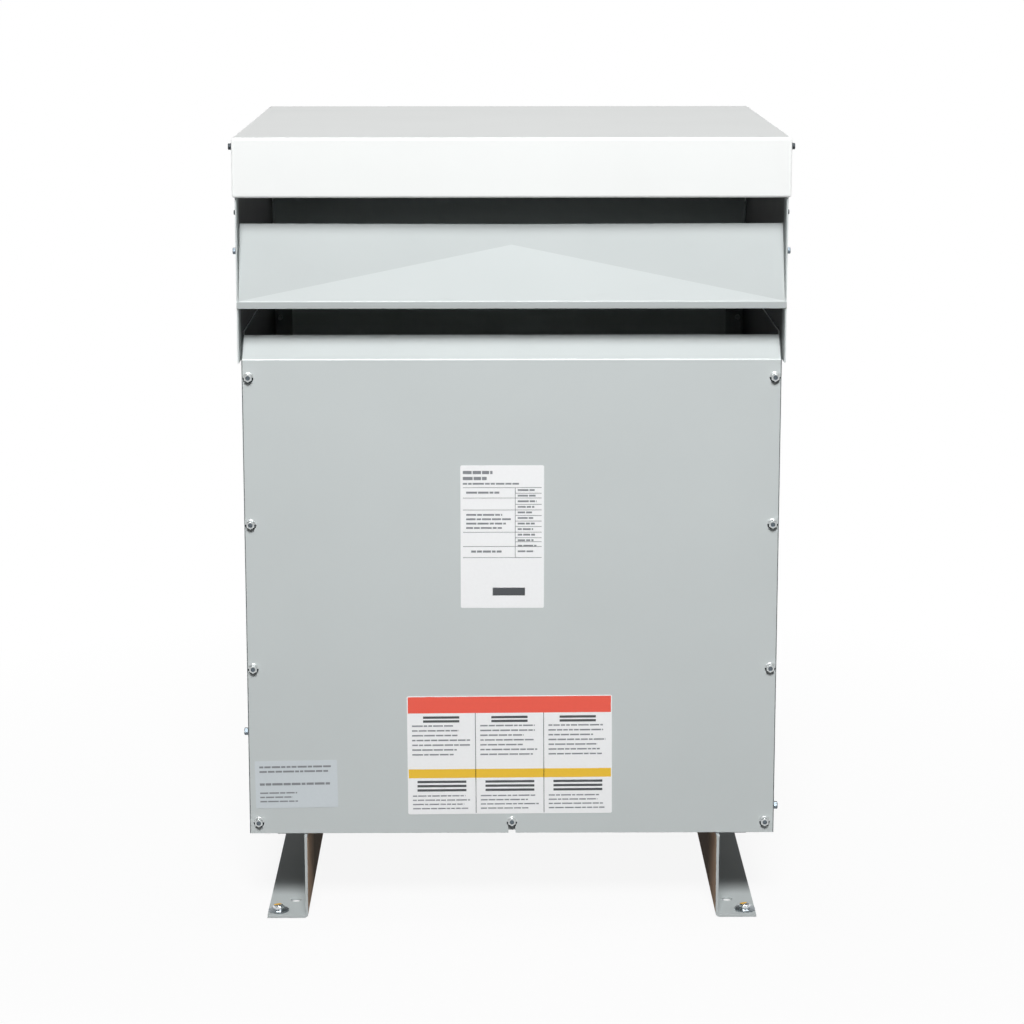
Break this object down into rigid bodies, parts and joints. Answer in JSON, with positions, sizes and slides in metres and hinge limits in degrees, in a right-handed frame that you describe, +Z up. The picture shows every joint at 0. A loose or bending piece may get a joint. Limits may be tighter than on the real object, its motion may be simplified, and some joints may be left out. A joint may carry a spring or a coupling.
{
  "type": "ventilated dry-type transformer",
  "caption": "Floor-standing ventilated dry-type transformer: sheet-metal enclosure with hood, rain deflectors and bolted panels on channel feet, round a core with windings.",
  "frame": {"origin": "on the floor under the middle of the enclosure", "axes": "+Z up, -Y out of the front panel, +X to the right as seen from the front"},
  "size_m": [0.6814, 0.612, 0.9818],
  "materials": {
    "body_paint": "semi-gloss light grey powder coat",
    "hood_paint": "semi-gloss pale grey powder coat",
    "foot_paint": "light grey powder coat",
    "zinc_plate": "zinc plated",
    "core_steel": "coated electrical-steel laminations",
    "foil_wrap": "foil winding in insulating paper",
    "varnish_wrap": "wire winding under varnished wrap",
    "clamp_paint": "dark grey enamel",
    "isolator_rubber": "matte moulded rubber",
    "board_laminate": "glass-polyester laminate",
    "bar_aluminium": "mill",
    "bar_copper": "bare copper"
  },
  "bodies": {
    "enclosure": {"left_foot": "foot_paint", "right_foot": "foot_paint", "hold_down_bolt_front_left": "zinc_plate", "hold_down_bolt_front_right": "zinc_plate", "hold_down_bolt_rear_left": "zinc_plate", "hold_down_bolt_rear_right": "zinc_plate", "hold_down_washer_front_left": "zinc_plate", "hold_down_washer_front_right": "zinc_plate", "hold_down_washer_rear_left": "zinc_plate", "hold_down_washer_rear_right": "zinc_plate", "base_pan": "body_paint", "left_side_panel": "body_paint", "right_side_panel": "body_paint", "left_vent_cheek": "body_paint", "right_vent_cheek": "body_paint", "front_deflector": "body_paint", "rear_deflector": "body_paint", "core_legs": "core_steel", "core_top_yoke": "core_steel", "left_lv_winding": "foil_wrap", "centre_lv_winding": "foil_wrap", "right_lv_winding": "foil_wrap", "left_hv_winding": "varnish_wrap", "centre_hv_winding": "varnish_wrap", "right_hv_winding": "varnish_wrap", "lower_front_clamp": "clamp_paint", "lower_rear_clamp": "clamp_paint", "upper_front_clamp": "clamp_paint", "upper_rear_clamp": "clamp_paint", "lower_left_clamp_bolt": "zinc_plate", "lower_right_clamp_bolt": "zinc_plate", "upper_left_clamp_bolt": "zinc_plate", "upper_right_clamp_bolt": "zinc_plate", "isolator_front_left": "isolator_rubber", "isolator_front_right": "isolator_rubber", "isolator_rear_left": "isolator_rubber", "isolator_rear_right": "isolator_rubber", "terminal_board": "board_laminate", "left_hv_terminal": "bar_aluminium", "centre_hv_terminal": "bar_aluminium", "right_hv_terminal": "bar_aluminium", "left_lv_bar": "bar_aluminium", "centre_lv_bar": "bar_aluminium", "right_lv_bar": "bar_aluminium", "neutral_bar": "bar_aluminium", "ground_bar": "bar_copper"},
    "front_cover": {"front_panel": "body_paint", "panel_bolt_top_left": "zinc_plate", "panel_bolt_upper_left": "zinc_plate", "panel_bolt_lower_left": "zinc_plate", "panel_bolt_bottom_left": "zinc_plate", "panel_bolt_top_right": "zinc_plate", "panel_bolt_upper_right": "zinc_plate", "panel_bolt_lower_right": "zinc_plate", "panel_bolt_bottom_right": "zinc_plate", "panel_bolt_bottom_centre": "zinc_plate"},
    "rear_cover": {"rear_panel": "body_paint"},
    "hood": {"top_hood": "hood_paint", "left_hood_screw": "zinc_plate", "right_hood_screw": "zinc_plate"}
  },
  "joints": [
    {"name": "front_panel_off", "type": "slide", "parent": "enclosure", "child": "front_cover", "axis": [0, -1, 0], "range_m": [0, 0.3]},
    {"name": "rear_panel_off", "type": "slide", "parent": "enclosure", "child": "rear_cover", "axis": [0, 1, 0], "range_m": [0, 0.3]},
    {"name": "hood_lift", "type": "slide", "parent": "enclosure", "child": "hood", "axis": [0, 0, 1], "range_m": [0, 0.2]}
  ]
}
